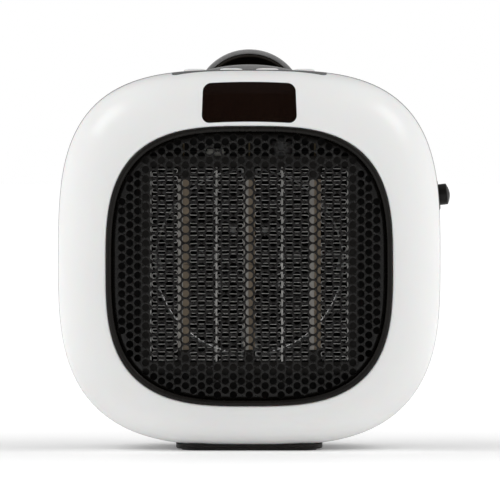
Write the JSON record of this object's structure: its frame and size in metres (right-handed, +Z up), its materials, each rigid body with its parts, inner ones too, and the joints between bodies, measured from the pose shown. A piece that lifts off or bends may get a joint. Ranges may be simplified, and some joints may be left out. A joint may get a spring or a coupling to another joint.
{
  "type": "ceramic space heater",
  "caption": "Compact rounded-square fan heater with a perforated front, smoked display window, top buttons, finger grip at the back of the top and a side power switch.",
  "frame": {"origin": "on the floor, in the middle of the base", "axes": "+Z up, -Y the direction the grille faces, +X to the right of someone facing the grille"},
  "size_m": [0.2147, 0.1424, 0.219],
  "materials": {
    "white_shell": "satin",
    "grey_shell": "fine texture",
    "black_trim": "satin",
    "black_steel": "semi-matte powder coat",
    "smoked_lens": "gloss",
    "display_black": "satin",
    "circuit_board": "solder mask",
    "white_button": "satin",
    "switch_plastic": "moulded",
    "black_plastic": "fine texture",
    "foot_rubber": "matte",
    "heater_ceramic": "matte",
    "bare_aluminium": "mill finish",
    "terminal_brass": "plain",
    "steel_can": "zinc plated",
    "white_ceramic": "matte",
    "white_plastic_part": "moulded",
    "switch_black": "satin",
    "screw_steel": "zinc plated"
  },
  "bodies": {
    "heater": {"front_bezel": "white_shell", "rear_housing": "grey_shell", "grip_hood": "grey_shell", "control_panel": "grey_shell", "trim_ring": "black_trim", "front_grille": "black_steel", "display_lens": "smoked_lens", "display_module": "display_black", "ir_receiver": "display_black", "display_board": "circuit_board", "control_board": "circuit_board", "tact_switches": "switch_plastic", "grip_liner": "black_plastic", "base_plinth": "black_plastic", "rubber_foot_ring": "foot_rubber", "ceramic_row_1": "heater_ceramic", "ceramic_row_2": "heater_ceramic", "ceramic_row_3": "heater_ceramic", "row_electrodes": "bare_aluminium", "fin_dividers": "bare_aluminium", "side_plates": "bare_aluminium", "core_frame": "black_plastic", "core_terminals": "terminal_brass", "thermal_cutout": "steel_can", "thermal_fuse": "white_ceramic", "air_duct": "black_plastic", "motor_bracket": "steel_can", "motor_case": "steel_can", "motor_cover": "steel_can", "motor_stator": "steel_can", "motor_bushes": "terminal_brass", "main_board": "circuit_board", "relays": "switch_plastic", "power_transformer": "switch_plastic", "capacitors": "switch_plastic", "terminal_block": "white_plastic_part", "tilt_switch": "white_plastic_part", "switch_body": "switch_black", "switch_nut": "switch_black", "rear_grille": "black_plastic", "cord_gland": "black_plastic", "casing_screws": "screw_steel", "base_screws": "screw_steel", "core_screws": "screw_steel", "bracket_screws": "screw_steel", "board_screws": "screw_steel", "fin_column_1": "bare_aluminium", "fin_column_2": "bare_aluminium", "fin_column_3": "bare_aluminium", "fin_column_4": "bare_aluminium", "fin_column_5": "bare_aluminium", "fin_column_6": "bare_aluminium"},
    "fan": {"fan_impeller": "black_plastic", "motor_rotor": "steel_can", "motor_shaft": "steel_can"},
    "power_key": {"power_button": "white_button"},
    "mode_key": {"mode_button": "white_button"},
    "warmer_key": {"warmer_button": "white_button"},
    "cooler_key": {"cooler_button": "white_button"},
    "switch_push": {"switch_cap": "switch_black"}
  },
  "joints": [
    {"name": "fan_spin", "type": "hinge", "parent": "heater", "child": "fan", "pos_m": [0, 0, 0.1015], "axis": [0, 1, 0], "continuous": true},
    {"name": "power_press", "type": "slide", "parent": "heater", "child": "power_key", "axis": [0, 0, -1], "range_m": [0, 0.0006], "stiffness_N_per_m": 800},
    {"name": "mode_press", "type": "slide", "parent": "heater", "child": "mode_key", "axis": [0, 0, -1], "range_m": [0, 0.0006], "stiffness_N_per_m": 800},
    {"name": "warmer_press", "type": "slide", "parent": "heater", "child": "warmer_key", "axis": [0, 0, -1], "range_m": [0, 0.0006], "stiffness_N_per_m": 800},
    {"name": "cooler_press", "type": "slide", "parent": "heater", "child": "cooler_key", "axis": [0, 0, -1], "range_m": [0, 0.0006], "stiffness_N_per_m": 800},
    {"name": "switch_press", "type": "slide", "parent": "heater", "child": "switch_push", "axis": [-0.9936, 0, -0.1132], "range_m": [0, 0.0025], "stiffness_N_per_m": 600}
  ]
}
